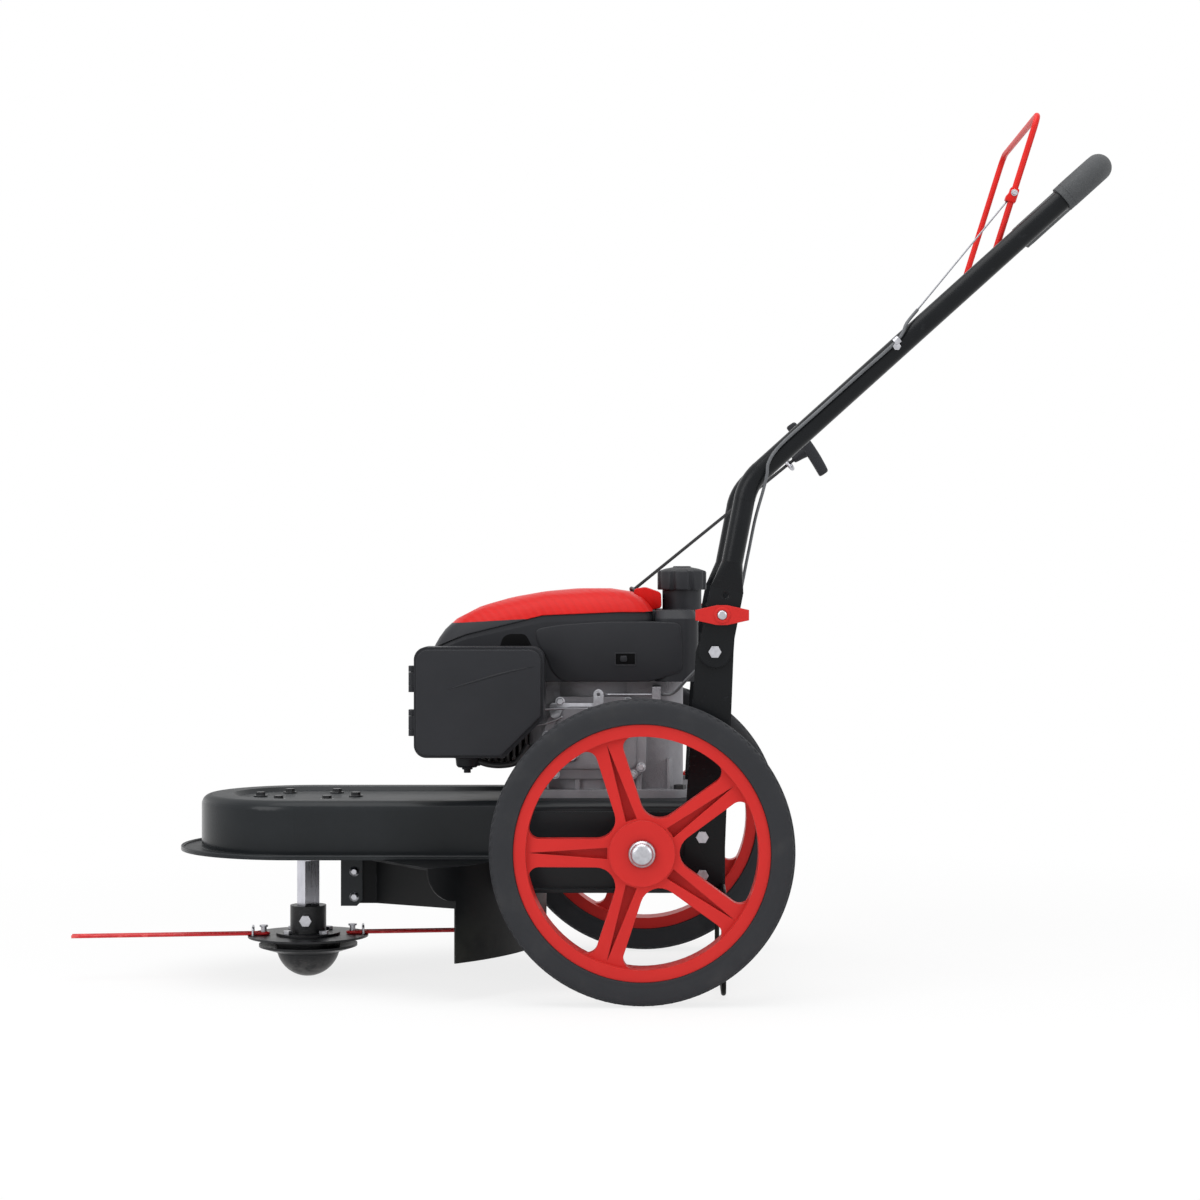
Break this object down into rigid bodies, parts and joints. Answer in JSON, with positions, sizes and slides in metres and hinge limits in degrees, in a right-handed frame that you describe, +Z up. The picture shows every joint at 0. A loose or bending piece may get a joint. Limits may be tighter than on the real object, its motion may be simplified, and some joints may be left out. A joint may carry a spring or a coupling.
{
  "type": "wheeled string trimmer",
  "caption": "Walk-behind petrol string trimmer on large spoked wheels, with a belt-driven line head, debris guard, folding handle and stop bail.",
  "frame": {"origin": "on the ground under the middle of the machine's box, line tips left out", "axes": "+Z up, -X to the front with the line head, -Y to the machine's left"},
  "size_m": [1.2494, 0.53, 1.0345],
  "materials": {
    "red_paint": "gloss red powder coat",
    "red_plastic": "moulded red, satin",
    "black_paint": "gloss black powder coat",
    "black_plastic": "fine textured",
    "dark_steel": "black coat on pressed steel",
    "grip_foam": "matte sleeve",
    "tyre_rubber": "matte rubber",
    "nylon_bush": "black nylon",
    "cast_grey": "die cast",
    "bright_steel": "zinc plated",
    "cast_iron": "cast and turned",
    "ceramic": "plug body",
    "burnt_steel": "heat stained",
    "belt_rubber": "belt",
    "filter_foam": "pleated paper",
    "line_red": "nylon line",
    "cable_black": "cable sheath",
    "rope_black": "braided"
  },
  "bodies": {
    "frame": {"deck_shell": "black_paint", "belt_guard": "black_paint", "left_side_plate": "black_paint", "right_side_plate": "black_paint", "left_upright": "black_paint", "right_upright": "black_paint", "frame_bolts": "bright_steel", "axle": "bright_steel", "axle_fittings": "bright_steel", "bearing_housing": "cast_iron", "spindle_bearings": "bright_steel", "deck_bolts": "bright_steel", "drive_belt": "belt_rubber", "guard": "black_paint", "guard_brackets": "black_paint", "guard_bolts": "bright_steel", "rear_stand": "black_paint", "crankcase": "cast_grey", "cylinder_block": "cast_grey", "spark_plug": "ceramic", "blower_shroud": "black_plastic", "starter_cover": "red_plastic", "fuel_tank": "black_plastic", "carburettor": "cast_grey", "air_filter_base": "black_plastic", "air_filter_element": "filter_foam", "muffler": "burnt_steel"},
    "crank": {"crankshaft": "bright_steel", "flywheel": "cast_iron", "drive_pulley": "cast_iron"},
    "head": {"spindle_shaft": "bright_steel", "spindle_pulley": "cast_iron", "head_collar": "dark_steel", "line_plate": "dark_steel", "glide_dish": "dark_steel", "glide_dome": "dark_steel", "head_bolts": "bright_steel", "line_posts": "bright_steel", "trimmer_lines": "line_red"},
    "handle": {"handle_tube": "black_paint", "grip_sleeve": "grip_foam", "handle_fittings": "bright_steel", "control_cable": "cable_black", "control_wire": "bright_steel", "starter_rope": "rope_black"},
    "bail": {"bail": "red_paint", "bail_hook": "red_plastic"},
    "starter": {"starter_grip": "black_plastic"},
    "left_knob": {"left_wing_knob": "red_plastic"},
    "right_knob": {"right_wing_knob": "red_plastic"},
    "cap": {"fuel_cap": "black_plastic"},
    "filter_cover": {"air_filter_cover": "black_plastic"},
    "brake": {"brake_lever": "bright_steel"},
    "left_wheel": {"left_rim": "red_plastic", "left_tyre": "tyre_rubber", "left_bushes": "nylon_bush"},
    "right_wheel": {"right_rim": "red_plastic", "right_tyre": "tyre_rubber", "right_bushes": "nylon_bush"}
  },
  "joints": [
    {"name": "left_wheel_spin", "type": "hinge", "parent": "frame", "child": "left_wheel", "pos_m": [0.00621, -0.23, 0.175], "axis": [0, 1, 0], "continuous": true},
    {"name": "right_wheel_spin", "type": "hinge", "parent": "frame", "child": "right_wheel", "pos_m": [0.00621, 0.23, 0.175], "axis": [0, 1, 0], "continuous": true},
    {"name": "crank_spin", "type": "hinge", "parent": "frame", "child": "crank", "pos_m": [-0.05379, 0, 0.203], "axis": [0, 0, 1], "continuous": true},
    {"name": "head_spin", "type": "hinge", "parent": "frame", "child": "head", "pos_m": [-0.40579, 0, 0.203], "axis": [0, 0, 1], "continuous": true},
    {"name": "handle_fold", "type": "hinge", "parent": "frame", "child": "handle", "pos_m": [0.09021, 0, 0.402], "axis": [0, -1, 0], "range_deg": [0, 95], "deforming": ["control_cable", "control_wire", "starter_rope"]},
    {"name": "bail_pull", "type": "hinge", "parent": "handle", "child": "bail", "pos_m": [0.41374, 0, 0.85527], "axis": [0, 1, 0], "range_deg": [0, 22.5], "stiffness_Nm_per_rad": 1, "springref_deg": -28.65, "deforming": ["control_wire"]},
    {"name": "brake_turn", "type": "hinge", "parent": "frame", "child": "brake", "pos_m": [-0.04679, -0.094, 0.325], "axis": [0, 1, 0], "range_deg": [0, 18]},
    {"name": "starter_pull", "type": "slide", "parent": "handle", "child": "starter", "axis": [0.7727, -0.2007, 0.6021], "range_m": [0, 0.35], "stiffness_N_per_m": 20, "springref_m": -0.5, "deforming": ["starter_rope"]},
    {"name": "left_knob_turn", "type": "hinge", "parent": "handle", "child": "left_knob", "pos_m": [0.09855, -0.181, 0.4449], "axis": [0, -1, 0], "continuous": true},
    {"name": "right_knob_turn", "type": "hinge", "parent": "handle", "child": "right_knob", "pos_m": [0.09855, 0.181, 0.4449], "axis": [0, 1, 0], "continuous": true},
    {"name": "fuel_cap_turn", "type": "hinge", "parent": "frame", "child": "cap", "pos_m": [0.05321, 0, 0.48], "axis": [0, 0, 1], "range_deg": [0, 90]},
    {"name": "filter_cover_swing", "type": "hinge", "parent": "frame", "child": "filter_cover", "pos_m": [-0.26679, -0.115, 0.342], "axis": [0, 0, -1], "range_deg": [0, 75]}
  ],
  "couplings": [
    {"joint": "crank_spin", "follows": "head_spin", "ratio": 1.1333},
    {"joint": "brake_turn", "follows": "bail_pull", "ratio": 0.8}
  ]
}
